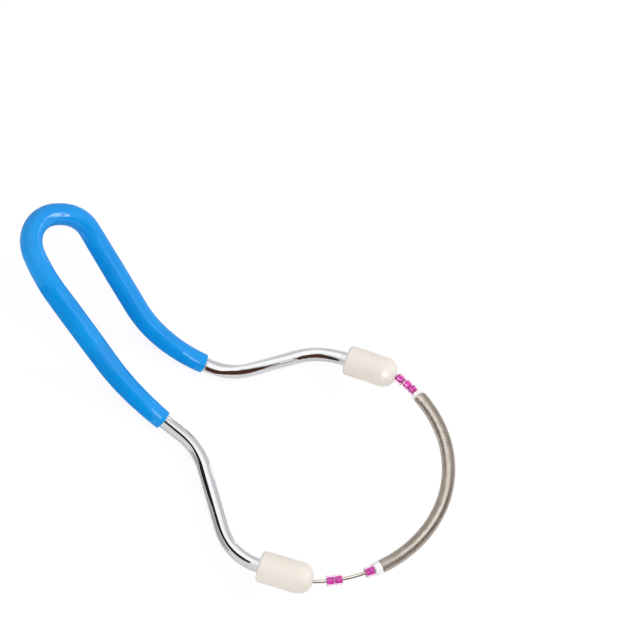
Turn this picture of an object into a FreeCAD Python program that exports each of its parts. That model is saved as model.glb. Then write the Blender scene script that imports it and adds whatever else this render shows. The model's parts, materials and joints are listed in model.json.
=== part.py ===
import FreeCAD, Part
import math
import os
from FreeCAD import Placement, Rotation, Vector

# Spring hair remover: a bent chrome rod with a soft sleeve, and a coil spring on a wire between two caps.
# The model is drawn in the plane of the spring's loop: x runs from the handle to the spring, y across
# the tool towards the upper arm, z up from the loop. The caps' tips lie on x = 0, z = 0.
# The whole tool is then turned to the pitch in which it comes to rest on a table.

# Rod: diameter, and how far it stops short of a cap's tip
rod_diameter = 4.0
rod_end_inset = 6.0

# Loop: half the distance between the caps' tips, and the spring's rise beyond them
loop_half_width = 37.9
loop_rise = 25.8

# Arm, from the cap to the neck: straight end, then the run along x and the rise to the neck's bend
arm_end_length = 24.0
shoulder_half_width = 38.6
shoulder_radius = 15.9
arm_run = 18.9
neck_half_width = 13.6
neck_rise = 9.7
neck_radius = 17.3

# Handle leg: from the neck to the long bend, then up to the corner where the U starts
leg_low_run = 20.9
leg_low_rise = 7.9
leg_bend_half_width = 10.0
leg_bend_radius = 41.0
leg_run = 24.7
leg_rise = 44.4
handle_half_width = 12.2
handle_corner_radius = 12.2

# U: from its corner to its end, and half the width of the end's arc
handle_end_run = 8.1
handle_end_rise = 4.4
handle_end_half_width = 5.05

# Sleeve: thickness, length along each leg from the middle of the U, and its drawn-in ends
sleeve_diameter = 6.3
sleeve_end_diameter = 5.5
sleeve_taper_length = 13.0
sleeve_lower_length = 75.0
sleeve_upper_length = 78.6
sleeve_fit = 0.02

# Caps
cap_diameter = 8.9
cap_length = 15.4
cap_nose_length = 4.4
cap_rear_round = 0.9
cap_fit = 0.02

# Wire through the loop
wire_diameter = 1.0
wire_anchor_length = 4.2
wire_fit = 0.03

# Coil spring and its end bushes. The spring takes up the wire that the beads, bushes and gaps leave.
spring_diameter = 3.9
spring_wire_diameter = 0.5
bush_diameter = 3.8
bush_nose_diameter = 3.1
upper_bush_length = 1.3
lower_bush_length = 2.1
bush_spigot_length = 2.0
bush_spigot_clearance = 0.15
bush_bore_clearance = 0.14

# Seed beads, and the gaps along the wire: between pieces that touch, above the upper pair, and the two
# stretches of bare wire on the lower side
bead_diameter = 3.1
bead_bore_clearance = 0.10
bead_round = 0.55
upper_cap_bead_length = 2.5
upper_pair_bead_length = 2.25
lower_single_bead_length = 2.5
lower_pair_bead_length = 2.15
touching_gap = 0.14
upper_bead_gap = 0.7
lower_cap_bare_wire = 3.7
lower_middle_bare_wire = 6.8

# Pitch of the loop's plane when the tool rests on the neck of its legs
rest_pitch_deg = 26.5

# Straight runs shorter than this are left out of the rod's path
shortest_run = 0.000001

os.makedirs("parts", exist_ok=True)


def unit(v):
    return Vector(v).normalize()


def rod_corners():
    # One half of the rod, from the middle of the U to the rod's end in the cap
    tip = Vector(0, loop_half_width, 0)
    shoulder = Vector(-arm_end_length, shoulder_half_width, 0)
    neck = Vector(shoulder.x - arm_run, neck_half_width, neck_rise)
    leg_bend = Vector(neck.x - leg_low_run, leg_bend_half_width, neck.z + leg_low_rise)
    leg_top = Vector(leg_bend.x - leg_run, handle_half_width, leg_bend.z + leg_rise)
    end = Vector(leg_top.x - handle_end_run, handle_end_half_width, leg_top.z + handle_end_rise)
    rod_end = tip + unit(shoulder - tip) * rod_end_inset
    return [Vector(end.x, 0, end.z), end, leg_top, leg_bend, neck, shoulder, rod_end]


def turns_at(corners):
    turns = []
    for i in range(1, len(corners) - 1):
        turns.append((corners[i] - corners[i - 1]).getAngle(corners[i + 1] - corners[i]))
    return turns


def bend_radii(corners):
    # The end of the U is one arc across the middle, so its radius follows from its corner.
    # A bend that finds too little straight rod beside it is as large as that rod allows.
    turns = turns_at(corners)
    end_radius = handle_end_half_width / math.tan(turns[0] / 2)
    wanted = [end_radius, handle_corner_radius, leg_bend_radius, neck_radius, shoulder_radius]
    reaches = [0.0]
    for radius, turn in zip(wanted, turns):
        reaches.append(radius * math.tan(turn / 2))
    reaches.append(0.0)
    room = []
    for i in range(len(corners) - 1):
        run = (corners[i + 1] - corners[i]).Length
        room.append(min(1.0, run / (reaches[i] + reaches[i + 1])))
    return [radius * min(room[i], room[i + 1]) for i, radius in enumerate(wanted)]


def bent_path(corners, radii):
    # Straight runs joined by tangent arcs. A piece is (kind, length, start, direction, side, radius).
    pieces = []
    here = corners[0]
    for i, turn in enumerate(turns_at(corners)):
        corner = corners[i + 1]
        before = unit(corner - corners[i])
        after = unit(corners[i + 2] - corner)
        reach = radii[i] * math.tan(turn / 2)
        start = corner - before * reach
        run = (start - here).dot(before)
        if run > shortest_run:
            pieces.append(("line", run, here, before, None, None))
        side = unit(after - before * before.dot(after))
        pieces.append(("arc", radii[i] * turn, start, before, side, radii[i]))
        here = corner + after * reach
    last = corners[-1] - here
    pieces.append(("line", last.Length, here, unit(last), None, None))
    return pieces


def point_on(piece, s):
    kind, length, start, direction, side, radius = piece
    if kind == "line":
        return start + direction * s
    turn = s / radius
    return start + direction * (radius * math.sin(turn)) + side * (radius * (1 - math.cos(turn)))


def heading_on(piece, s):
    kind, length, start, direction, side, radius = piece
    if kind == "line":
        return direction
    turn = s / radius
    return direction * math.cos(turn) + side * math.sin(turn)


def edge_of(piece, s0, s1):
    first = point_on(piece, s0)
    last = point_on(piece, s1)
    if piece[0] == "line":
        return Part.LineSegment(first, last).toShape()
    return Part.Arc(first, point_on(piece, (s0 + s1) / 2), last).toShape()


def path_length(pieces):
    return sum(piece[1] for piece in pieces)


def cut_path(pieces, s0, s1):
    # The edges of a path between two lengths along it
    edges = []
    run = 0.0
    for piece in pieces:
        a = max(s0 - run, 0.0)
        b = min(s1 - run, piece[1])
        if b - a > 0.001:
            edges.append(edge_of(piece, a, b))
        run += piece[1]
    return edges


def place_on(pieces, s):
    run = 0.0
    for piece in pieces:
        if s <= run + piece[1] or piece is pieces[-1]:
            return point_on(piece, s - run), heading_on(piece, s - run)
        run += piece[1]


def mirrored(point):
    return Vector(point.x, -point.y, point.z)


def mirrored_edges(edges):
    out = []
    for edge in reversed(edges):
        ends = [mirrored(v.Point) for v in edge.Vertexes]
        middle = mirrored(edge.valueAt((edge.FirstParameter + edge.LastParameter) / 2))
        if edge.Curve.TypeId == "Part::GeomLine":
            out.append(Part.LineSegment(ends[1], ends[0]).toShape())
        else:
            out.append(Part.Arc(ends[1], middle, ends[0]).toShape())
    return out


def swept(edges, profiles):
    solid = Part.Wire(edges).makePipeShell(profiles, True, False)
    if solid.Volume < 0:
        solid.reverse()
    return solid


def single(shape):
    # A boolean's result as the one solid that it holds
    return shape.Solids[0]


def ring(centre, direction, diameter):
    return Part.Wire(Part.Circle(centre, direction, diameter / 2).toShape())


def both_legs(pieces, lower, upper):
    # Edges from a length on the lower leg, through the U, to a length on the upper leg
    return mirrored_edges(cut_path(pieces, 0, lower)) + cut_path(pieces, 0, upper)


def frame_rod(pieces):
    length = path_length(pieces)
    edges = both_legs(pieces, length, length)
    centre, direction = place_on(pieces, length)
    start = ring(mirrored(centre), Vector(-direction.x, direction.y, -direction.z), rod_diameter)
    return swept(edges, [start])


def sleeve_end(pieces, length, half):
    # The drawn-in end of the sleeve on one leg, from full thickness to its cut edge
    s0 = length - sleeve_taper_length
    a, da = place_on(pieces, s0)
    b, db = place_on(pieces, length)
    edges = cut_path(pieces, s0, length)
    solid = swept(edges, [ring(a, da, sleeve_diameter), ring(b, db, sleeve_end_diameter)])
    if half < 0:
        solid = solid.mirror(Vector(0, 0, 0), Vector(0, 1, 0))
    return solid


def handle_sleeve(pieces):
    lower = sleeve_lower_length - sleeve_taper_length
    upper = sleeve_upper_length - sleeve_taper_length
    centre, direction = place_on(pieces, lower)
    start = ring(mirrored(centre), Vector(-direction.x, direction.y, -direction.z), sleeve_diameter)
    outer = swept(both_legs(pieces, lower, upper), [start])
    outer = outer.fuse(sleeve_end(pieces, sleeve_lower_length, -1))
    outer = outer.fuse(sleeve_end(pieces, sleeve_upper_length, 1))
    centre, direction = place_on(pieces, sleeve_lower_length)
    start = ring(mirrored(centre), Vector(-direction.x, direction.y, -direction.z), rod_diameter + 2 * sleeve_fit)
    inner = swept(both_legs(pieces, sleeve_lower_length, sleeve_upper_length), [start])
    return single(outer.cut(inner))


def loop_radius():
    return (loop_half_width ** 2 + loop_rise ** 2) / (2 * loop_rise)


def loop_centre():
    return Vector(loop_rise - loop_radius(), 0, 0)


def loop_half_angle():
    return math.asin(loop_half_width / loop_radius()) if loop_centre().x < 0 else math.pi - math.asin(
        loop_half_width / loop_radius())


def loop_length():
    return 2 * loop_half_angle() * loop_radius()


def loop_angle(s):
    # Angle about the loop's centre of a length along the wire, from the lower cap's tip
    return s / loop_radius() - loop_half_angle()


def loop_point(s):
    a = loop_angle(s)
    return loop_centre() + Vector(math.cos(a), math.sin(a), 0) * loop_radius()


def loop_heading(s):
    a = loop_angle(s)
    return Vector(-math.sin(a), math.cos(a), 0)


def loop_arc(s0, s1):
    return Part.Arc(loop_point(s0), loop_point((s0 + s1) / 2), loop_point(s1)).toShape()


def inner_wire():
    first = loop_point(0) - loop_heading(0) * wire_anchor_length
    last = loop_point(loop_length()) + loop_heading(loop_length()) * wire_anchor_length
    edges = [
        Part.LineSegment(first, loop_point(0)).toShape(),
        loop_arc(0, loop_length()),
        Part.LineSegment(loop_point(loop_length()), last).toShape(),
    ]
    return swept(edges, [ring(first, loop_heading(0), wire_diameter)])


def turned(profile, origin, direction):
    # A solid of revolution about local x, seated at origin with x along direction
    edges = []
    for i in range(len(profile)):
        edges.append(Part.LineSegment(profile[i], profile[(i + 1) % len(profile)]).toShape())
    face = Part.Face(Part.Wire(edges))
    solid = face.revolve(Vector(0, 0, 0), Vector(1, 0, 0), 360)
    solid.Placement = Placement(origin, Rotation(Vector(1, 0, 0), direction))
    return solid


def cap():
    # The upper cap: a bullet on the rod's end, with its nose towards the spring
    tip = Vector(0, loop_half_width, 0)
    forward = unit(tip - Vector(-arm_end_length, shoulder_half_width, 0))
    r = cap_diameter / 2
    nose = cap_length - cap_nose_length
    profile = [Vector(0, 0, 0), Vector(0, r - cap_rear_round, 0)]
    for k in range(1, 6):
        a = math.radians(15 * k)
        profile.append(Vector(cap_rear_round * (1 - math.cos(a)), r - cap_rear_round * (1 - math.sin(a)), 0))
    profile.append(Vector(cap_rear_round, r, 0))
    profile.append(Vector(nose, r, 0))
    for k in range(1, 13):
        a = math.radians(7.5 * k)
        profile.append(Vector(nose + cap_nose_length * math.sin(a), r * math.cos(a) ** 0.8 if k < 12 else 0, 0))
    body = turned(profile, tip - forward * cap_length, forward)
    rod_hole = Part.makeCylinder(rod_diameter / 2 + cap_fit, cap_length - rod_end_inset + cap_fit,
                                 tip - forward * cap_length, forward)
    away = loop_heading(loop_length())
    wire_hole = Part.makeCylinder(wire_diameter / 2 + wire_fit, wire_anchor_length + wire_diameter,
                                  tip - away * wire_diameter, away)
    return single(body.cut(rod_hole).cut(wire_hole))


def coil_spring(s0, s1):
    # The close coils as one tube of their outer and inner diameter
    outer = swept([loop_arc(s0, s1)], [ring(loop_point(s0), loop_heading(s0), spring_diameter)])
    inner_diameter = spring_diameter - 2 * spring_wire_diameter
    inner = swept([loop_arc(s0, s1)], [ring(loop_point(s0), loop_heading(s0), inner_diameter)])
    return single(outer.cut(inner))


def bush(s_seat, length, sign):
    # A plastic end piece: its nose faces a cap and its spigot is inside the spring
    spigot_radius = spring_diameter / 2 - spring_wire_diameter - bush_spigot_clearance
    bore_radius = wire_diameter / 2 + bush_bore_clearance
    chamfer = (bush_diameter - bush_nose_diameter) / 2
    profile = [
        Vector(-bush_spigot_length, bore_radius, 0),
        Vector(-bush_spigot_length, spigot_radius, 0),
        Vector(0, spigot_radius, 0),
        Vector(0, bush_diameter / 2, 0),
        Vector(length - chamfer, bush_diameter / 2, 0),
        Vector(length, bush_nose_diameter / 2, 0),
        Vector(length, bore_radius, 0),
    ]
    return turned(profile, loop_point(s_seat), loop_heading(s_seat) * sign)


def bead(s_middle, length):
    # A round seed bead, threaded on the wire
    bore_radius = wire_diameter / 2 + bead_bore_clearance
    r = bead_diameter / 2
    profile = [Vector(-length / 2, bore_radius, 0), Vector(-length / 2, r - bead_round, 0)]
    for k in range(1, 5):
        a = math.radians(22.5 * k)
        profile.append(Vector(-length / 2 + bead_round * (1 - math.cos(a)), r - bead_round * (1 - math.sin(a)), 0))
    for k in range(4, 0, -1):
        a = math.radians(22.5 * k)
        profile.append(Vector(length / 2 - bead_round * (1 - math.cos(a)), r - bead_round * (1 - math.sin(a)), 0))
    profile.append(Vector(length / 2, r - bead_round, 0))
    profile.append(Vector(length / 2, bore_radius, 0))
    return turned(profile, loop_point(s_middle), loop_heading(s_middle))


def cap_gap():
    # How far a bead stops from a cap's tip, as the wire leaves the cap at an angle to its axis
    tip = Vector(0, loop_half_width, 0)
    forward = unit(tip - Vector(-arm_end_length, shoulder_half_width, 0))
    lean = forward.getAngle(loop_heading(loop_length()) * -1)
    return touching_gap + (bead_diameter / 2 - bead_round) * math.sin(lean)


def along_wire():
    # Middle of each bead and seat of each bush, as lengths along the wire from the lower cap's tip
    stops = {}
    s = loop_length() - cap_gap()
    stops["upper_cap_bead"] = s - upper_cap_bead_length / 2
    s -= upper_cap_bead_length + upper_bead_gap
    stops["upper_outer_bead"] = s - upper_pair_bead_length / 2
    s -= upper_pair_bead_length + touching_gap
    stops["upper_inner_bead"] = s - upper_pair_bead_length / 2
    s -= upper_pair_bead_length + touching_gap
    stops["upper_bush"] = s - upper_bush_length
    s = lower_cap_bare_wire
    stops["lower_outer_bead"] = s + lower_pair_bead_length / 2
    s += lower_pair_bead_length + touching_gap
    stops["lower_inner_bead"] = s + lower_pair_bead_length / 2
    s += lower_pair_bead_length + lower_middle_bare_wire
    stops["lower_single_bead"] = s + lower_single_bead_length / 2
    s += lower_single_bead_length + touching_gap
    stops["lower_bush"] = s + lower_bush_length
    return stops


def build_nodes():
    corners = rod_corners()
    rod_path = bent_path(corners, bend_radii(corners))
    stops = along_wire()
    upper_cap = cap()
    nodes = {
        "frame_rod": frame_rod(rod_path),
        "handle_sleeve": handle_sleeve(rod_path),
        "upper_cap": upper_cap,
        "lower_cap": upper_cap.mirror(Vector(0, 0, 0), Vector(0, 1, 0)),
        "inner_wire": inner_wire(),
        "coil_spring": coil_spring(stops["lower_bush"], stops["upper_bush"]),
        "upper_bush": bush(stops["upper_bush"], upper_bush_length, 1),
        "lower_bush": bush(stops["lower_bush"], lower_bush_length, -1),
        "upper_cap_bead": bead(stops["upper_cap_bead"], upper_cap_bead_length),
        "upper_outer_bead": bead(stops["upper_outer_bead"], upper_pair_bead_length),
        "upper_inner_bead": bead(stops["upper_inner_bead"], upper_pair_bead_length),
        "lower_single_bead": bead(stops["lower_single_bead"], lower_single_bead_length),
        "lower_inner_bead": bead(stops["lower_inner_bead"], lower_pair_bead_length),
        "lower_outer_bead": bead(stops["lower_outer_bead"], lower_pair_bead_length),
    }
    return nodes


def rest_placement(nodes):
    # Turn the loop to its rest pitch, then put the bottom centre of the whole tool at the origin
    turn = Rotation(Vector(0, 1, 0), -rest_pitch_deg)
    whole = Part.makeCompound(list(nodes.values()))
    whole.Placement = Placement(Vector(0, 0, 0), turn)
    box = whole.optimalBoundingBox(False, True)
    shift = Vector(-(box.XMin + box.XMax) / 2, -(box.YMin + box.YMax) / 2, -box.ZMin)
    return Placement(shift, turn)


nodes = build_nodes()
placement = rest_placement(nodes)
for name, shape in nodes.items():
    solid = shape.copy()
    solid.Placement = placement.multiply(shape.Placement)
    solid.exportStep("parts/" + name + ".step")
    print(name, solid.ShapeType, round(solid.Volume, 2), solid.isValid())
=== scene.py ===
import json
import math

import bmesh
import bpy
from mathutils import Matrix, Vector


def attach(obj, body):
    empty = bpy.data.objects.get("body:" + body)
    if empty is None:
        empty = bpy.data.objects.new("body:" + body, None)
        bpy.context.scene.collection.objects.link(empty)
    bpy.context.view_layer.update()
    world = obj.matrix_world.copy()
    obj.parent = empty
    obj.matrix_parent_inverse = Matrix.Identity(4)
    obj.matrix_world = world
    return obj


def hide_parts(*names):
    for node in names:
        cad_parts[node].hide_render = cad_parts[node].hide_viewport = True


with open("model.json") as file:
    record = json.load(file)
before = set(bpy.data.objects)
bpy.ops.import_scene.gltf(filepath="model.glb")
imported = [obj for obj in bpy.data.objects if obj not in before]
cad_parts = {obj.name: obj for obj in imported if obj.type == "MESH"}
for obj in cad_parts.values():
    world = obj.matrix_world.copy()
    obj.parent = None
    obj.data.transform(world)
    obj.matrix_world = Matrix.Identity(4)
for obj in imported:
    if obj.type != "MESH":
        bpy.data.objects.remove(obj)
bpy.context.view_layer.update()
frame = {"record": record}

MM = 0.001

# Sizes in millimetres in the plane of the spring's loop: x runs from the handle to the spring,
# y towards the upper arm, z up from the loop. The caps' tips lie on x = 0, z = 0.
ROD_DIAMETER = 4.0
ROD_END_INSET = 6.0
ROD_FIT = 0.02
LOOP_HALF_WIDTH = 37.9
LOOP_RISE = 25.8
CAP_DIAMETER = 8.9
CAP_LENGTH = 15.4
CAP_NOSE_LENGTH = 4.4
CAP_REAR_ROUND = 0.9
WIRE_DIAMETER = 1.0
WIRE_ANCHOR_LENGTH = 4.2
WIRE_FIT = 0.03
SPRING_DIAMETER = 3.9
SPRING_WIRE_DIAMETER = 0.5
BUSH_DIAMETER = 3.8
BUSH_NOSE_DIAMETER = 3.1
UPPER_BUSH_LENGTH = 1.3
LOWER_BUSH_LENGTH = 2.1
BUSH_SPIGOT_LENGTH = 2.0
BUSH_SPIGOT_CLEARANCE = 0.15
BUSH_BORE_CLEARANCE = 0.14
BEAD_DIAMETER = 3.1
BEAD_BORE_DIAMETER = 1.2
BEAD_LINING_THICKNESS = 0.11
BEAD_LINING_INSET = 0.06
UPPER_CAP_BEAD_LENGTH = 2.5
UPPER_PAIR_BEAD_LENGTH = 2.25
LOWER_SINGLE_BEAD_LENGTH = 2.5
LOWER_PAIR_BEAD_LENGTH = 2.15
TOUCHING_GAP = 0.14
UPPER_BEAD_GAP = 0.7
LOWER_CAP_BARE_WIRE = 3.7
LOWER_MIDDLE_BARE_WIRE = 6.8
BEAD_ROUND = 0.55

# Half of the rod: its corners from the middle of the U to the rod's end in the upper cap, and the
# radius of the bend at each corner between
ROD_CORNERS = [
    Vector((-96.6, 0, 66.4)),
    Vector((-96.6, 5.05, 66.4)),
    Vector((-88.5, 12.2, 62.0)),
    Vector((-63.8, 10.0, 17.6)),
    Vector((-42.9, 13.6, 9.7)),
    Vector((-24.0, 38.6, 0)),
    Vector((0, 37.9, 0)),
]
ROD_RADII = [None, 12.2, 41.0, 17.3, 15.9]

# Sleeve: its thickness at lengths along each leg from the middle of the U. Heat and stretching leave
# it a little thicker on the long bend and drawn in at its cut ends.
SLEEVE_LOWER = [(0, 6.05), (9, 6.05), (14, 6.2), (20, 6.42), (29, 6.6), (41, 6.6), (50, 6.48), (57, 6.32),
                (63, 6.1), (69, 5.85), (73, 5.65), (75, 5.55)]
SLEEVE_UPPER = [(0, 6.05), (10, 6.0), (21, 6.0), (28, 6.15), (38, 6.3), (47, 6.28), (57, 6.12), (64, 5.95),
                (71, 5.72), (76, 5.6), (78.6, 5.55)]


def srgb(text):
    # An sRGB hex value as the linear colour that a shader takes
    out = []
    for i in (0, 2, 4):
        c = int(text[i:i + 2], 16) / 255
        out.append(c / 12.92 if c <= 0.04045 else ((c + 0.055) / 1.055) ** 2.4)
    return (*out, 1.0)


# The loop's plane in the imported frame: the spring travels about the middle of the wire's arc
travel = next(j for j in frame["record"]["behaviour"]["joints"] if j["name"] == "spring_travel")
UP = -Vector(travel["axis"]).normalized()
ACROSS = Vector((0, 1, 0))
ALONG = ACROSS.cross(UP).normalized()
LOOP_RADIUS = (LOOP_HALF_WIDTH ** 2 + LOOP_RISE ** 2) / (2 * LOOP_RISE)
LOOP_CENTRE = Vector((LOOP_RISE - LOOP_RADIUS, 0, 0))
LOOP_HALF_ANGLE = math.asin(LOOP_HALF_WIDTH / LOOP_RADIUS)
LOOP_LENGTH = 2 * LOOP_HALF_ANGLE * LOOP_RADIUS


def direction(v):
    # A direction of the loop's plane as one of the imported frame
    return ALONG * v.x + ACROSS * v.y + UP * v.z


def placed(v):
    # A point of the loop's plane, in millimetres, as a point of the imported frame, in metres
    return Vector(travel["pos_m"]) + direction(v - LOOP_CENTRE) * MM


def rod_path(step):
    # Points along half the rod at even steps, with the length from the middle of the U
    shoulder, tip = ROD_CORNERS[-2:]
    corners = ROD_CORNERS[:-1] + [tip + (shoulder - tip).normalized() * ROD_END_INSET]
    points = [corners[0]]
    for i in range(1, len(corners) - 1):
        before = (corners[i] - corners[i - 1]).normalized()
        after = (corners[i + 1] - corners[i]).normalized()
        turn = before.angle(after)
        radius = ROD_RADII[i - 1] or ROD_CORNERS[1].y / math.tan(turn / 2)
        start = corners[i] - before * (radius * math.tan(turn / 2))
        side = (after - before * before.dot(after)).normalized()
        count = max(6, round(radius * turn / 0.25))
        for k in range(count + 1):
            a = turn * k / count
            points.append(start + before * (radius * math.sin(a)) + side * (radius * (1 - math.cos(a))))
    points.append(corners[-1])
    lengths = [0.0]
    for a, b in zip(points, points[1:]):
        lengths.append(lengths[-1] + (b - a).length)
    total = lengths[-1]
    out = []
    i = 0
    count = round(total / step)
    for k in range(count + 1):
        s = total * k / count
        while i < len(points) - 2 and lengths[i + 1] < s:
            i += 1
        span = lengths[i + 1] - lengths[i]
        t = (s - lengths[i]) / span if span > 0 else 0
        out.append((s, points[i].lerp(points[i + 1], t)))
    return out


def both_legs(step):
    # From the lower cap through the U to the upper cap: signed length from the middle of the U, and point
    half = rod_path(step)
    lower = [(-s, Vector((p.x, -p.y, p.z))) for s, p in reversed(half[1:])]
    return lower + half


def loop_angle(s):
    # s is the length along the wire from the lower cap's tip
    return s / LOOP_RADIUS - LOOP_HALF_ANGLE


def loop_point(s):
    a = loop_angle(s)
    return LOOP_CENTRE + Vector((math.cos(a), math.sin(a), 0)) * LOOP_RADIUS


def loop_heading(s):
    a = loop_angle(s)
    return Vector((-math.sin(a), math.cos(a), 0))


def linked(name, data):
    made = bpy.data.objects.new(name, data)
    bpy.context.scene.collection.objects.link(made)
    return made


def new_object(name, vertices, faces):
    mesh = bpy.data.meshes.new(name)
    mesh.from_pydata([placed(v) for v in vertices], [], faces)
    mesh.polygons.foreach_set("use_smooth", [True] * len(mesh.polygons))
    mesh.validate()
    mesh.update()
    return linked(name, mesh)


def sections(points):
    # A frame at each point of a path, carried along without twisting: (point, one side, other side)
    out = []
    previous = None
    for i, p in enumerate(points):
        ahead = points[min(i + 1, len(points) - 1)] - points[max(i - 1, 0)]
        ahead.normalize()
        if previous is None:
            previous = Vector((0, 0, 1)) if abs(ahead.z) < 0.9 else Vector((1, 0, 0))
        one = (previous - ahead * previous.dot(ahead)).normalized()
        out.append((p, one, ahead.cross(one)))
        previous = one
    return out


def ring(p, one, other, r, sides):
    return [p + (one * math.cos(a) + other * math.sin(a)) * r for a in
            (2 * math.pi * k / sides for k in range(sides))]


def wall(rings, sides, closed):
    # Faces from each ring of points to the next, and from the last to the first in a closed piece
    faces = []
    for i in range(rings if closed else rings - 1):
        a = i * sides
        b = (i + 1) % rings * sides
        for k in range(sides):
            n = (k + 1) % sides
            faces.append((a + k, a + n, b + n, b + k))
    if not closed:
        faces.append(tuple(reversed(range(sides))))
        faces.append(tuple(range((rings - 1) * sides, rings * sides)))
    return faces


def tube(name, points, radii, sides, inner=None):
    # A bar or a hose along a path. inner gives a hose its bore, open at both cut ends.
    frames = sections(points)
    rings = [ring(p, one, other, r, sides) for (p, one, other), r in zip(frames, radii)]
    if inner:
        back = zip(reversed(frames), reversed(inner))
        rings += [ring(p, one, other, r, sides) for (p, one, other), r in back]
    return new_object(name, sum(rings, []), wall(len(rings), sides, bool(inner)))


def turned(name, profile, origin, heading, sides):
    # A bored shape turned about a line: profile is (length along it, radius), all round the section
    heading = heading.normalized()
    one = Vector((0, 0, 1))
    other = heading.cross(one).normalized()
    rings = [ring(origin + heading * x, one, other, r, sides) for x, r in profile]
    return new_object(name, sum(rings, []), wall(len(rings), sides, True))


def outward(piece, sharp_deg=40):
    # Faces turned outward, with hard edges kept where the surface turns sharply
    work = bmesh.new()
    work.from_mesh(piece.data)
    bmesh.ops.recalc_face_normals(work, faces=work.faces)
    for edge in work.edges:
        if len(edge.link_faces) == 2:
            edge.smooth = edge.calc_face_angle(0) < math.radians(sharp_deg)
    work.to_mesh(piece.data)
    work.free()
    return piece


def rounded(x0, x1, r, round_in, bore):
    # Profile of a short tube piece with rounded outer edges and a slightly eased bore
    steps = 8
    lip = 0.1
    out = [(x0 + lip, bore), (x0 + lip * 0.3, bore + lip * 0.35), (x0, bore + lip)]
    for k in range(steps + 1):
        a = math.pi / 2 * k / steps
        out.append((x0 + round_in * (1 - math.cos(a)), r - round_in * (1 - math.sin(a))))
    for k in range(steps + 1):
        a = math.pi / 2 * (1 - k / steps)
        out.append((x1 - round_in * (1 - math.cos(a)), r - round_in * (1 - math.sin(a))))
    out += [(x1, bore + lip), (x1 - lip * 0.3, bore + lip * 0.35), (x1 - lip, bore)]
    return out


def node(tree, kind, settings=None, **links):
    # Adds a node. settings are its properties or the values of its sockets, links are sockets to join.
    made = tree.nodes.new(kind)
    for key, value in (settings or {}).items():
        if hasattr(made, key):
            setattr(made, key, value)
        else:
            made.inputs[key].default_value = value
    for key, source in links.items():
        tree.links.new(source, made.inputs[key.replace("_", " ")])
    return made


def material(name):
    # An empty material and its node tree
    made = bpy.data.materials.new(name)
    made.use_nodes = True
    tree = made.node_tree
    for old in list(tree.nodes):
        tree.nodes.remove(old)
    return made, tree


def finish_material(tree, surface):
    out = node(tree, "ShaderNodeOutputMaterial")
    tree.links.new(surface, out.inputs["Surface"])


def pattern(tree, size_mm, detail):
    # Clouds of a real size, the same on every side of a piece
    place = node(tree, "ShaderNodeTexCoord").outputs["Object"]
    made = node(tree, "ShaderNodeTexNoise", {"Scale": 1 / (size_mm * MM), "Detail": detail}, Vector=place)
    return made.outputs["Fac"]


def tones(tree, value, first, second, start=0.0, end=1.0):
    # Two colours, blended by a pattern between two of its values
    ramp = node(tree, "ShaderNodeValToRGB", Fac=value)
    for element, position, colour in zip(ramp.color_ramp.elements, (start, end), (first, second)):
        element.position = position
        element.color = srgb(colour)
    return ramp.outputs["Color"]


def gloss_range(tree, value, low, high):
    return node(tree, "ShaderNodeMapRange", {"To Min": low, "To Max": high}, Value=value).outputs["Result"]


def bump(tree, height, strength, distance_mm):
    made = node(tree, "ShaderNodeBump", {"Strength": strength, "Distance": distance_mm * MM})
    tree.links.new(height, made.inputs["Height"])
    return made.outputs["Normal"]


def chrome_plate():
    # Bright chrome over drawn steel: a clean mirror with a cold tint, a little hazier here and there
    made, tree = material("Chrome plated steel rod")
    haze = pattern(tree, 6, 3.0)
    surface = node(tree, "ShaderNodeBsdfPrincipled", {"Base Color": srgb("CFD0D2"), "Metallic": 1.0},
                   Roughness=gloss_range(tree, haze, 0.05, 0.09))
    finish_material(tree, surface.outputs["BSDF"])
    return made


def vinyl():
    # Plasticised PVC hose, extruded: saturated blue under a clear skin, with a faint long waviness. The
    # skin shines less towards the outline, as in the photograph's soft light.
    made, tree = material("Glossy blue PVC sleeve")
    wave = pattern(tree, 9, 2.0)
    grain = pattern(tree, 0.8, 3.0)
    rim = node(tree, "ShaderNodeLayerWeight", {"Blend": 0.5})
    coat = node(tree, "ShaderNodeMapRange",
                {"From Min": 0.35, "From Max": 0.9, "To Min": 0.4, "To Max": 0.02},
                Value=rim.outputs["Facing"])
    surface = node(tree, "ShaderNodeBsdfPrincipled",
                   {"IOR": 1.5, "Specular IOR Level": 0.05, "Coat Roughness": 0.03},
                   Base_Color=tones(tree, wave, "018DDF", "0395E5", 0.35, 0.65),
                   Roughness=gloss_range(tree, grain, 0.34, 0.44),
                   Coat_Weight=coat.outputs["Result"], Normal=bump(tree, wave, 0.15, 0.25))
    finish_material(tree, surface.outputs["BSDF"])
    return made


def ivory_plastic():
    # Injection moulded ABS with a fine satin texture: warm ivory, soft broad highlight
    made, tree = material("Satin ivory ABS")
    tone = pattern(tree, 5, 3.0)
    grain = pattern(tree, 0.25, 2.0)
    surface = node(tree, "ShaderNodeBsdfPrincipled",
                   {"IOR": 1.45, "Roughness": 0.36, "Subsurface Weight": 0.08, "Subsurface Scale": 1.5 * MM},
                   Base_Color=tones(tree, tone, "E6DED3", "ECE4DA"), Normal=bump(tree, grain, 0.05, 0.02))
    finish_material(tree, surface.outputs["BSDF"])
    return made


def drawn_wire(name, dark, pale, low, high):
    # Drawn stainless wire: a soft metal sheen, duller than the chrome, with small stains
    made, tree = material(name)
    stain = pattern(tree, 2, 4.0)
    surface = node(tree, "ShaderNodeBsdfPrincipled", {"Metallic": 1.0},
                   Base_Color=tones(tree, stain, dark, pale, 0.3, 0.7),
                   Roughness=gloss_range(tree, stain, low, high))
    finish_material(tree, surface.outputs["BSDF"])
    return made


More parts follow.
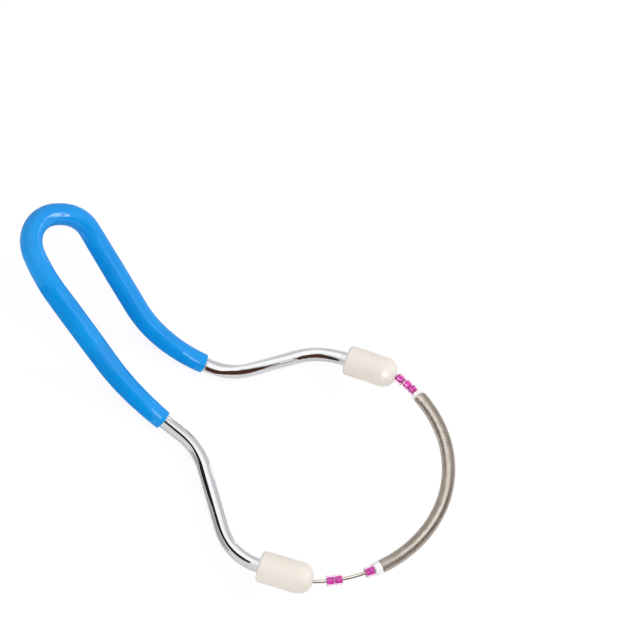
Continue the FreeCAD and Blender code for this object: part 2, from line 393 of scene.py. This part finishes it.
def milky_nylon():
    # Natural nylon: a milky, nearly white plastic with a waxy gloss
    made, tree = material("Natural nylon")
    surface = node(tree, "ShaderNodeBsdfPrincipled", {"IOR": 1.53, "Roughness": 0.28},
                   Base_Color=tones(tree, pattern(tree, 1.2, 2.0), "ECEBE8", "FAF9F7"))
    finish_material(tree, surface.outputs["BSDF"])
    return made


def clear_glass():
    # Soda glass of the seed beads: fire polished, clear, and pink from the dye round its hole
    made, tree = material("Clear seed bead glass")
    surface = node(tree, "ShaderNodeBsdfPrincipled",
                   {"Base Color": srgb("FFDAF3"), "IOR": 1.42, "Roughness": 0.02, "Transmission Weight": 1.0},
                   Normal=bump(tree, pattern(tree, 1, 1.0), 0.2, 0.03))
    finish_material(tree, surface.outputs["BSDF"])
    return made


def bead_lining():
    # Dyed lining in the bead's hole: bright magenta, a little uneven as the dye has run
    made, tree = material("Magenta bead lining")
    surface = node(tree, "ShaderNodeBsdfPrincipled", {"IOR": 1.5, "Roughness": 0.25},
                   Base_Color=tones(tree, pattern(tree, 0.5, 2.0), "8C0A70", "E030BA", 0.38, 0.6))
    finish_material(tree, surface.outputs["BSDF"])
    return made


CHROME = chrome_plate()
VINYL = vinyl()
IVORY = ivory_plastic()
WIRE = drawn_wire("Drawn stainless wire", "B9B4AC", "CCC8C0", 0.22, 0.34)
SPRING = drawn_wire("Stainless spring wire", "ABA39A", "BFB7AE", 0.28, 0.36)
NYLON = milky_nylon()
GLASS = clear_glass()
LINING = bead_lining()


def dressed(piece, finish, body, nodes=()):
    # Gives a piece its material, its body and slot, and the nodes whose plain look it takes the place of
    piece.data.materials.append(finish)
    if nodes:
        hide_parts(*nodes)
    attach(piece, body)
    return piece


rod_points = [p for s, p in both_legs(0.6)]
rod = tube("chromed_rod", rod_points, [ROD_DIAMETER / 2] * len(rod_points), 32)
dressed(outward(rod), CHROME, "frame", ["frame_rod"])


def sleeve_radius(s):
    table = SLEEVE_UPPER if s >= 0 else SLEEVE_LOWER
    s = abs(s)
    for (s0, d0), (s1, d1) in zip(table, table[1:]):
        if s <= s1:
            t = (s - s0) / (s1 - s0)
            t = t * t * (3 - 2 * t)
            return (d0 + (d1 - d0) * t) / 2
    return table[-1][1] / 2


def leg_point(path, length):
    for (s0, p0), (s1, p1) in zip(path, path[1:]):
        if s0 <= length <= s1:
            return p0.lerp(p1, (length - s0) / (s1 - s0))


def sleeve():
    # The cut ends are square, with the wall showing round the rod and a small softened edge: how far
    # from the end, and how much smaller in radius
    edge = [(0.45, 0.0), (0.18, 0.03), (0.05, 0.09), (0.0, 0.2)]
    edge_length = 0.5
    upper_end = SLEEVE_UPPER[-1][0]
    lower_end = SLEEVE_LOWER[-1][0]
    path = both_legs(0.45)
    kept = [(s, p, 0.0) for s, p in path if -lower_end + edge_length < s < upper_end - edge_length]
    head = [(-lower_end + d, leg_point(path, -lower_end + d), cut) for d, cut in reversed(edge)]
    tail = [(upper_end - d, leg_point(path, upper_end - d), cut) for d, cut in edge]
    run = head + kept + tail
    outer = [sleeve_radius(s) - cut for s, p, cut in run]
    bore = [ROD_DIAMETER / 2 + ROD_FIT] * len(run)
    return tube("vinyl_sleeve", [p for s, p, cut in run], outer, 48, bore)


dressed(outward(sleeve()), VINYL, "frame", ["handle_sleeve"])


def cap(name, side, node_name):
    # side is 1 for the upper arm and -1 for the lower one. The profile runs from the rod's hole over the
    # rounded rear edge and the straight flank to the blunt nose and the wire's hole.
    tip = Vector((0, LOOP_HALF_WIDTH * side, 0))
    shoulder = ROD_CORNERS[5]
    forward = (tip - Vector((shoulder.x, shoulder.y * side, 0))).normalized()
    r = CAP_DIAMETER / 2
    nose = CAP_LENGTH - CAP_NOSE_LENGTH
    hole = ROD_DIAMETER / 2 + ROD_FIT
    profile = [(2.0, hole), (0.25, hole), (0.05, hole + 0.08), (0, hole + 0.25)]
    for k in range(13):
        a = math.radians(7.5 * k)
        profile.append((CAP_REAR_ROUND * (1 - math.cos(a)), r - CAP_REAR_ROUND * (1 - math.sin(a))))
    for k in range(1, 8):
        profile.append((CAP_REAR_ROUND + (nose - CAP_REAR_ROUND) * k / 8, r))
    for k in range(30):
        a = math.radians(3 * k)
        profile.append((nose + CAP_NOSE_LENGTH * math.sin(a), r * math.cos(a) ** 0.8))
    wire_hole = WIRE_DIAMETER / 2 + WIRE_FIT
    profile.append((CAP_LENGTH - 0.002, wire_hole + 0.1))
    profile.append((CAP_LENGTH - 0.08, wire_hole))
    profile.append((CAP_LENGTH - 2.0, wire_hole))
    piece = turned(name, profile, tip - forward * CAP_LENGTH, forward, 72)
    dressed(outward(piece), IVORY, "frame", [node_name])


cap("ivory_cap_upper", 1, "upper_cap")
cap("ivory_cap_lower", -1, "lower_cap")


def wire_run():
    # The arc between the caps' tips, with a straight end hidden in each cap
    count = 160
    arc = [loop_point(LOOP_LENGTH * k / count) for k in range(count + 1)]
    first = arc[0] - loop_heading(0) * WIRE_ANCHOR_LENGTH
    last = arc[-1] + loop_heading(LOOP_LENGTH) * WIRE_ANCHOR_LENGTH
    return [first] + arc + [last]


wire_points = wire_run()
wire = tube("bowed_wire", wire_points, [WIRE_DIAMETER / 2] * len(wire_points), 20)
dressed(outward(wire), WIRE, "frame", ["inner_wire"])

# Places along the wire, from the lower cap's tip. The beads next to the upper cap keep a little away,
# since the cap leans against the wire there.
shoulder_way = (Vector((0, LOOP_HALF_WIDTH, 0)) - ROD_CORNERS[5]).normalized()
lean = shoulder_way.angle(-loop_heading(LOOP_LENGTH))
cap_gap = TOUCHING_GAP + (BEAD_DIAMETER / 2 - BEAD_ROUND) * math.sin(lean)
upper = LOOP_LENGTH - cap_gap
UPPER_CAP_BEAD = upper - UPPER_CAP_BEAD_LENGTH / 2
upper -= UPPER_CAP_BEAD_LENGTH + UPPER_BEAD_GAP
UPPER_OUTER_BEAD = upper - UPPER_PAIR_BEAD_LENGTH / 2
upper -= UPPER_PAIR_BEAD_LENGTH + TOUCHING_GAP
UPPER_INNER_BEAD = upper - UPPER_PAIR_BEAD_LENGTH / 2
UPPER_SEAT = upper - UPPER_PAIR_BEAD_LENGTH - TOUCHING_GAP - UPPER_BUSH_LENGTH
LOWER_OUTER_BEAD = LOWER_CAP_BARE_WIRE + LOWER_PAIR_BEAD_LENGTH / 2
LOWER_INNER_BEAD = LOWER_OUTER_BEAD + LOWER_PAIR_BEAD_LENGTH + TOUCHING_GAP
lower = LOWER_INNER_BEAD + LOWER_PAIR_BEAD_LENGTH / 2 + LOWER_MIDDLE_BARE_WIRE
LOWER_SINGLE_BEAD = lower + LOWER_SINGLE_BEAD_LENGTH / 2
LOWER_SEAT = lower + LOWER_SINGLE_BEAD_LENGTH + TOUCHING_GAP + LOWER_BUSH_LENGTH


def coil():
    # Close coils along the arc: each turn lies on the last one inside the bow and opens a hair outside
    # of it. The wire's section is a little flattened, as the turns of such a spring look nearly smooth.
    half = SPRING_WIRE_DIAMETER / 2
    length = UPPER_SEAT - LOWER_SEAT
    turns = round(length / SPRING_WIRE_DIAMETER) - 1
    per_turn = 28
    sides = 12
    flatness = 0.5
    overlap = 1.04
    count = turns * per_turn
    vertices = []
    for k in range(count + 1):
        s = LOWER_SEAT + half + (length - 2 * half) * k / count
        a = 2 * math.pi * k / per_turn
        outward_way = Vector((math.cos(loop_angle(s)), math.sin(loop_angle(s)), 0))
        round_way = outward_way * math.cos(a) + Vector((0, 0, 1)) * math.sin(a)
        middle = loop_point(s) + round_way * (SPRING_DIAMETER / 2 - half)
        ahead = loop_heading(s)
        for j in range(sides):
            b = 2 * math.pi * j / sides
            crown = math.copysign(abs(math.cos(b)) ** flatness, math.cos(b))
            vertices.append(middle + round_way * (crown * half) + ahead * (math.sin(b) * half * overlap))
    return new_object("wound_spring", vertices, wall(count + 1, sides, False))


dressed(outward(coil(), 60), SPRING, "spring", ["coil_spring"])


def bush(name, seat, length, sign, node_name):
    # A collar on the spring's end with a spigot inside it; sign is 1 where the collar faces the upper cap
    bore = WIRE_DIAMETER / 2 + BUSH_BORE_CLEARANCE
    spigot = SPRING_DIAMETER / 2 - SPRING_WIRE_DIAMETER - BUSH_SPIGOT_CLEARANCE
    r = BUSH_DIAMETER / 2
    chamfer = (BUSH_DIAMETER - BUSH_NOSE_DIAMETER) / 2
    profile = [(-BUSH_SPIGOT_LENGTH, bore), (-BUSH_SPIGOT_LENGTH, spigot), (0, spigot), (0.03, r - 0.12),
               (0.12, r)]
    for k in range(9):
        a = math.pi / 2 * k / 8
        profile.append((length - chamfer * (1 - math.sin(a)), r - chamfer * (1 - math.cos(a))))
    profile += [(length, bore + 0.25), (length - 0.1, bore + 0.08), (length - 0.5, bore)]
    piece = turned(name, profile, loop_point(seat), loop_heading(seat) * sign, 48)
    dressed(outward(piece), NYLON, "spring", [node_name])


bush("nylon_bush_upper", UPPER_SEAT, UPPER_BUSH_LENGTH, 1, "upper_bush")
bush("nylon_bush_lower", LOWER_SEAT, LOWER_BUSH_LENGTH, -1, "lower_bush")


def bead(name, s, length):
    # Clear glass with its hole lined in colour; the glass magnifies the lining to most of its width. The
    # glass starts inside the lining, so that no air shows between them.
    hole = BEAD_BORE_DIAMETER / 2
    lining_radius = hole + BEAD_LINING_THICKNESS
    lining_end = length / 2 - BEAD_LINING_INSET
    profile = rounded(-length / 2, length / 2, BEAD_DIAMETER / 2, BEAD_ROUND, lining_radius - 0.04)
    glass = turned(name + "_glass", profile, loop_point(s), loop_heading(s), 48)
    dressed(outward(glass, 50), GLASS, name, [name])
    lining = turned(name + "_lining", [(-lining_end, hole), (-lining_end, lining_radius),
                                       (lining_end, lining_radius), (lining_end, hole)],
                    loop_point(s), loop_heading(s), 48)
    dressed(outward(lining), LINING, name)


bead("upper_cap_bead", UPPER_CAP_BEAD, UPPER_CAP_BEAD_LENGTH)
bead("upper_outer_bead", UPPER_OUTER_BEAD, UPPER_PAIR_BEAD_LENGTH)
bead("upper_inner_bead", UPPER_INNER_BEAD, UPPER_PAIR_BEAD_LENGTH)
bead("lower_single_bead", LOWER_SINGLE_BEAD, LOWER_SINGLE_BEAD_LENGTH)
bead("lower_inner_bead", LOWER_INNER_BEAD, LOWER_PAIR_BEAD_LENGTH)
bead("lower_outer_bead", LOWER_OUTER_BEAD, LOWER_PAIR_BEAD_LENGTH)


def seen_white(tree):
    # 1 for camera, glossy and transmission rays, 0 for the rays that light the tool
    rays = node(tree, "ShaderNodeLightPath")
    first = node(tree, "ShaderNodeMath", {"operation": "MAXIMUM"})
    tree.links.new(rays.outputs["Is Camera Ray"], first.inputs[0])
    tree.links.new(rays.outputs["Is Glossy Ray"], first.inputs[1])
    both = node(tree, "ShaderNodeMath", {"operation": "MAXIMUM"})
    tree.links.new(first.outputs[0], both.inputs[0])
    tree.links.new(rays.outputs["Is Transmission Ray"], both.inputs[1])
    return both.outputs[0]


def studio_world():
    # White where the camera or a polished surface looks at it, softer where it lights the tool
    world = bpy.data.worlds.new("White studio")
    bpy.context.scene.world = world
    world.use_nodes = True
    tree = world.node_tree
    for old in list(tree.nodes):
        tree.nodes.remove(old)
    light = node(tree, "ShaderNodeBackground", {"Color": (1, 1, 1, 1), "Strength": 0.41})
    seen = node(tree, "ShaderNodeBackground", {"Color": (1, 1, 1, 1), "Strength": 1.0})
    mix = node(tree, "ShaderNodeMixShader", Fac=seen_white(tree))
    tree.links.new(light.outputs[0], mix.inputs[1])
    tree.links.new(seen.outputs[0], mix.inputs[2])
    out = node(tree, "ShaderNodeOutputWorld")
    tree.links.new(mix.outputs[0], out.inputs["Surface"])


def plane(name, centre, across, along, width, depth):
    corners = [(-1, -1), (1, -1), (1, 1), (-1, 1)]
    mesh = bpy.data.meshes.new(name)
    mesh.from_pydata([centre + across * (a * width / 2) + along * (b * depth / 2) for a, b in corners], [],
                     [(0, 1, 2, 3)])
    piece = linked(name, mesh)
    return piece


def table_top():
    # White paper that hardly shows its own shading, so that only the soft shadow near the tool is seen
    made, tree = material("Pale table")
    paper = node(tree, "ShaderNodeBsdfDiffuse", {"Color": srgb("F8F8F8")})
    glow = node(tree, "ShaderNodeEmission", {"Color": (1, 1, 1, 1), "Strength": 1.02})
    share = node(tree, "ShaderNodeMath", {"operation": "MULTIPLY"})
    rays = node(tree, "ShaderNodeLightPath")
    seen = node(tree, "ShaderNodeMath", {"operation": "MAXIMUM"})
    tree.links.new(rays.outputs["Is Camera Ray"], seen.inputs[0])
    tree.links.new(rays.outputs["Is Transmission Ray"], seen.inputs[1])
    tree.links.new(seen.outputs[0], share.inputs[0])
    share.inputs[1].default_value = 0.86
    mix = node(tree, "ShaderNodeMixShader", Fac=share.outputs[0])
    tree.links.new(paper.outputs[0], mix.inputs[1])
    tree.links.new(glow.outputs[0], mix.inputs[2])
    finish_material(tree, mix.outputs[0])
    top = plane("table_top", Vector((0, 0, 0)), Vector((1, 0, 0)), Vector((0, 1, 0)), 6.0, 6.0)
    top.data.materials.append(made)


def lamp(name, place, aim, width, power):
    # Soft light that shapes the pieces without a picture of itself in the chrome
    data = bpy.data.lights.new(name, "AREA")
    data.shape = "DISK"
    data.size = width
    data.energy = power
    made = linked(name, data)
    made.location = place
    made.rotation_euler = (Vector(aim) - Vector(place)).to_track_quat("-Z", "Y").to_euler()
    made.visible_glossy = False


def card(name, colour, strength, vertices, faces):
    # A glowing card that is no lamp and that only polished surfaces see: it lights nothing and paints a
    # reflection into their gloss
    made, tree = material(name.replace("_", " "))
    glow = node(tree, "ShaderNodeEmission", {"Color": srgb(colour), "Strength": strength})
    finish_material(tree, glow.outputs[0])
    mesh = bpy.data.meshes.new(name)
    mesh.from_pydata(vertices, [], faces)
    piece = linked(name, mesh)
    piece.data.materials.append(made)
    piece.visible_camera = False
    piece.visible_diffuse = False
    piece.visible_transmission = False
    piece.visible_shadow = False


def towards(azimuth, elevation):
    a = math.radians(azimuth)
    return Vector((math.cos(a), math.sin(a), math.tan(math.radians(elevation))))


def screen(name, colour, radius, edge):
    # An upright glowing screen round the table, which only polished surfaces see: a painted reflection. edge
    # lists azimuth, lowest and highest elevation in degrees
    vertices = []
    for (a0, low0, high0), (a1, low1, high1) in zip(edge, edge[1:]):
        steps = max(1, round((a1 - a0) / 3))
        for k in range(steps):
            t = k / steps
            a = a0 + (a1 - a0) * t
            vertices.append(towards(a, low0 + (low1 - low0) * t) * radius)
            vertices.append(towards(a, high0 + (high1 - high0) * t) * radius)
    faces = [(2 * k, 2 * k + 2, 2 * k + 3, 2 * k + 1) for k in range(len(vertices) // 2 - 1)]
    card(name, colour, 1.0, vertices, faces)


def strip(name, colour, strength, thickness, reach, marks):
    # A narrow glowing card close along a round piece, held where the camera sees it as a line in the gloss: a
    # painted reflection.
    # thickness is the piece's and reach the card's distance from its surface, in millimetres. marks lists
    # a point of the piece's middle line, the way it runs there, and the two edges of the reflected line
    # across the width, from -1 at the left of the run to 1 at its right.
    vertices = []
    for point, heading, *edges in marks:
        p = placed(point)
        along = direction(heading).normalized()
        sight = (CAMERA_PLACE - p).normalized()
        facing = (sight - along * sight.dot(along)).normalized()
        side = along.cross(facing)
        for k in edges:
            normal = facing * math.sqrt(1 - k * k) + side * k
            away = normal * (2 * sight.dot(normal)) - sight
            start = p + normal * (thickness / 2 * MM)
            length = reach * MM
            if away.z < 0:
                # Stays just above the table
                length = min(length, (start.z - 0.1 * MM) / -away.z)
            vertices.append(start + away * length)
    faces = [(2 * k, 2 * k + 2, 2 * k + 3, 2 * k + 1) for k in range(len(vertices) // 2 - 1)]
    card(name, colour, strength, vertices, faces)


def between(marks, step):
    # The rows of marks with more rows between them, at even steps of the first value
    out = []
    for a, b in zip(marks, marks[1:]):
        count = max(1, round(abs(b[0] - a[0]) / step))
        out += [[u + (v - u) * k / count for u, v in zip(a, b)] for k in range(count)]
    return out + [list(marks[-1])]


def along_rod(side, marks, step=0.5):
    # Marks on the upper half of the rod (side 1) or the lower one (side -1), by length from the U's middle
    half = rod_path(0.25)
    out = []
    for s, *edges in between(marks, step):
        i = min(range(1, len(half) - 1), key=lambda k: abs(half[k][0] - s))
        p = half[i][1]
        heading = half[i + 1][1] - half[i - 1][1]
        out.append((Vector((p.x, p.y * side, p.z)), Vector((heading.x, heading.y * side, heading.z)), *edges))
    return out


def along_wire(marks, step=0.5):
    # Marks on the arc, by length from the lower cap's tip
    return [(loop_point(s), loop_heading(s), *edges) for s, *edges in between(marks, step)]


def along_spring(marks):
    # Marks on the spring, by share of its length from the lower end
    length = UPPER_SEAT - LOWER_SEAT
    return along_wire([(LOWER_SEAT + length * t, *edges) for t, *edges in marks], 1.4)


def flat_card(name, strength, x0, x1, y0, y1, z):
    # A level white glowing card over the table, in metres, which only polished surfaces see: a painted
    # reflection
    card(name, "FFFFFF", strength, [(x0, y0, z), (x1, y0, z), (x1, y1, z), (x0, y1, z)], [(0, 1, 2, 3)])


# The photograph's camera in the loop's plane, in millimetres. It looks down at about 50 degrees and is
# turned by about as much on its side; its focal length is in pixels of the picture's width.
CAMERA_PLACE = placed(Vector((81.187, -389.578, 572.368)))
CAMERA_RIGHT = direction(Vector((0.94484, 0.32073, 0.06648)))
CAMERA_DOWN = direction(Vector((0.29166, -0.73143, -0.6164)))
CAMERA_AHEAD = direction(Vector((-0.14907, 0.60179, -0.78462)))
FOCAL_LENGTH = 2448.94
PICTURE_WIDTH = 640
SENSOR_WIDTH = 36.0

# Thickness of the sleeve where the cards of its painted reflections lie
SLEEVE_AT_U = 6.1
SLEEVE_ON_UPPER_LEG = 6.2
SLEEVE_ON_LOWER_LEG = 6.4


def camera():
    data = bpy.data.cameras.new("camera")
    data.sensor_width = SENSOR_WIDTH
    data.lens = FOCAL_LENGTH / PICTURE_WIDTH * SENSOR_WIDTH
    data.clip_start = 0.01
    data.clip_end = 20.0
    made = linked("camera", data)
    turn = Matrix((CAMERA_RIGHT, -CAMERA_DOWN, -CAMERA_AHEAD)).transposed()
    made.matrix_world = Matrix.Translation(CAMERA_PLACE) @ turn.to_4x4()
    bpy.context.scene.camera = made


def arm_reflections():
    # Painted reflections in the bright chrome: glowing brown, black and white cards held close along the arms
    # show as lines there, in place of the things round the table
    strip("Brown_strip_neck", "5A392D", 1, ROD_DIAMETER, 7, along_rod(1, [
        (79, 0.34, 0.74), (82, 0.30, 0.77), (86, -0.10, 0.47), (90, -0.22, 0.38), (94, -0.06, 0.46),
        (98, 0.10, 0.34), (103, 0.18, 0.26)]))
    strip("Brown_strip_shoulder", "5A392D", 1, ROD_DIAMETER, 7, along_rod(1, [
        (108, 0.16, 0.22), (111, 0.08, 0.34), (114, 0.03, 0.55), (118, -0.08, 0.50), (120, 0.03, 0.55)]))
    strip("Dark_strip_upper", "2A2422", 1, ROD_DIAMETER, 7, along_rod(1, [
        (120, 0.03, 0.55), (122, 0.15, 0.60), (125, 0.30, 0.60)]))
    strip("Dark_strip_lower", "2A2725", 1, ROD_DIAMETER, 7, along_rod(-1, [
        (75, -0.16, 0.14), (78, -0.16, 0.14), (82, -0.08, 0.22), (86, -0.02, 0.22), (90, 0.10, 0.44),
        (94, 0.15, 0.66), (98, 0.16, 0.64), (102, 0.15, 0.60), (106, 0.14, 0.47), (110, 0.12, 0.47),
        (114, 0.06, 0.36), (118, 0.02, 0.34), (122, -0.08, 0.26), (124.5, -0.08, 0.18)]))
    strip("Light_strip_upper", "FFFFFF", 1.5, ROD_DIAMETER, 9, along_rod(1, [
        (79, -0.35, 0.15), (83, -0.4, 0.15), (87, -0.6, -0.2), (90, -0.72, -0.34), (94, -0.66, -0.2),
        (98, -0.58, -0.08), (106, -0.48, 0.02), (112, -0.52, -0.04), (118, -0.66, -0.2), (122, -0.5, 0.02),
        (125, -0.5, 0.1)]))
    strip("Light_strip_lower", "FFFFFF", 1.5, ROD_DIAMETER, 9, along_rod(-1, [
        (76, -0.3, -0.14), (82, -0.28, -0.1), (88, -0.26, 0.0), (94, -0.22, 0.1), (106, -0.2, 0.08),
        (114, -0.2, 0.0), (122, -0.42, -0.14), (125, -0.42, -0.14)]))
    strip("Grey_strip_lower", "C2C2C5", 1, ROD_DIAMETER, 7, along_rod(-1, [
        (87, 0.5, 0.7), (90, 0.5, 0.84), (94, 0.7, 0.86), (102, 0.66, 0.84), (106, 0.52, 0.88),
        (114, 0.45, 0.86), (118, 0.5, 0.7)]))


def sleeve_reflections():
    # Painted highlights of a window on the U and at the sleeve's ends, with a painted paler upper side and
    # painted deeper blue shade on the lower side, all from glowing cards close along the sleeve
    strip("Painted_highlight_left", "FFFFFF", 16, SLEEVE_AT_U, 12, along_rod(1, [
        (5.0, 0.10, 0.16), (6.2, -0.06, 0.26), (8.0, -0.12, 0.24)]))
    strip("Painted_highlight_right", "FFFFFF", 16, SLEEVE_AT_U, 12, along_rod(1, [
        (8.8, -0.12, 0.24), (10.4, -0.06, 0.2), (11.6, 0.04, 0.12)]))
    strip("Painted_highlight_end_upper", "FFFFFF", 9, SLEEVE_ON_UPPER_LEG, 9, along_rod(1, [
        (71, -0.12, 0.02), (74, -0.06, 0.16), (77, 0.02, 0.22)]))
    strip("Painted_highlight_end_lower", "FFFFFF", 8, SLEEVE_ON_LOWER_LEG, 9, along_rod(-1, [
        (70, -0.2, -0.12), (72.5, -0.2, 0.04), (75, -0.14, 0.08)]))
    strip("Sleeve_dark_upper", "202020", 1, SLEEVE_ON_UPPER_LEG, 10, along_rod(1, [
        (16, 0.3, 0.95), (24, 0.2, 0.95), (60, 0.15, 0.95), (76, 0.3, 0.9)], 2))
    strip("Sleeve_dark_lower", "202020", 1, SLEEVE_ON_LOWER_LEG, 10, along_rod(-1, [
        (16, 0.3, 0.9), (26, 0.15, 0.95), (60, 0.1, 0.95), (72, 0.3, 0.9)], 2))
    strip("Sleeve_light_upper", "FFFFFF", 1.9, SLEEVE_ON_UPPER_LEG, 10, along_rod(1, [
        (22, -0.3, -0.1), (30, -0.34, -0.1), (60, -0.34, -0.12), (72, -0.3, -0.16)], 2))
    strip("Sleeve_light_lower", "FFFFFF", 1.9, SLEEVE_ON_LOWER_LEG, 10, along_rod(-1, [
        (18, -0.4, -0.2), (30, -0.46, -0.2), (60, -0.4, -0.14), (70, -0.3, -0.16)], 2))


def bow_reflections():
    # Painted reflections from glowing cards close along the bow: one light line and one brown line on the
    # wire, a light one on the beads, and on the spring a light line with a dark one that lies inside it on
    # the upper half of the bow and outside it on the lower
    strip("Wire_light", "FFFFFF", 1.7, WIRE_DIAMETER, 6, along_wire([(0.3, -0.5, 0.1), (13.5, -0.5, 0.1)]))
    strip("Wire_brown", "6A4638", 1, WIRE_DIAMETER, 6, along_wire([(0.3, 0.25, 0.75), (13.5, 0.25, 0.75)]))
    strip("Bead_light_lower", "FFFFFF", 9, BEAD_DIAMETER, 6, along_wire([
        (3.6, -0.3, -0.05), (8.2, -0.3, -0.05)]))
    strip("Bead_light_upper", "FFFFFF", 9, BEAD_DIAMETER, 6, along_wire([
        (UPPER_SEAT + 1.6, -0.3, -0.05), (LOOP_LENGTH - 0.4, -0.3, -0.05)]))
    strip("Spring_light", "FFFFFF", 2.3, SPRING_DIAMETER, 8, along_spring([
        (0.02, -0.22, 0.04), (0.3, -0.14, 0.18), (0.45, -0.02, 0.26), (0.6, -0.28, 0.02), (0.8, -0.2, 0.16),
        (0.98, -0.2, 0.1)]))
    strip("Spring_dark_inner", "4A4038", 1, SPRING_DIAMETER, 8, along_spring([
        (0.45, -0.52, -0.44), (0.6, -0.62, -0.36), (0.8, -0.64, -0.3), (0.98, -0.64, -0.3)]))
    strip("Spring_dark_outer", "5E534A", 1, SPRING_DIAMETER, 8, along_spring([
        (0.02, 0.2, 0.42), (0.3, 0.28, 0.54), (0.45, 0.32, 0.52), (0.56, 0.42, 0.48)]))
    strip("Spring_grey_inner", "CAC3BA", 1, SPRING_DIAMETER, 9, along_spring([
        (0.02, -0.9, -0.32), (0.3, -0.9, -0.3), (0.45, -0.85, -0.3), (0.6, -0.8, -0.4)]))
    strip("Spring_grey_outer", "CAC3BA", 1, SPRING_DIAMETER, 9, along_spring([
        (0.3, 0.5, 0.8), (0.45, 0.45, 0.8), (0.6, 0.35, 0.8), (0.8, 0.4, 0.8), (0.98, 0.4, 0.8)]))


studio_world()
table_top()
lamp("key_lamp", (0.46, 0.46, 0.77), (0, 0, 0), 0.7, 3.8)
lamp("front_lamp", (-0.1, -0.4, 0.8), (0, 0, 0), 0.8, 4.6)
# Glowing cards that are no lamps and that only polished surfaces see: painted reflections of a pale ceiling,
# a grey wall and a brown screen
flat_card("Painted_left_ceiling_reflection", 1.35, -1.4, -0.13, -0.62, 1.0, 0.7)
flat_card("Painted_back_ceiling_reflection", 1.35, -0.13, 0.6, 0.08, 0.25, 0.7)
screen("Painted_grey_wall_reflection", "EFEFF1", 0.65, [(30, 0, 40), (50, 0, 70), (120, 0, 70), (150, 0, 60)])
screen("Painted_brown_screen_reflection", "6A4638", 0.4, [
    (-76, 1, 28), (-62, 1, 38), (-48, 4, 44), (-38, 8, 48), (-22, 18, 52), (-8, 32, 54)])
arm_reflections()
sleeve_reflections()
bow_reflections()
camera()
bpy.context.scene.view_settings.view_transform = "Standard"
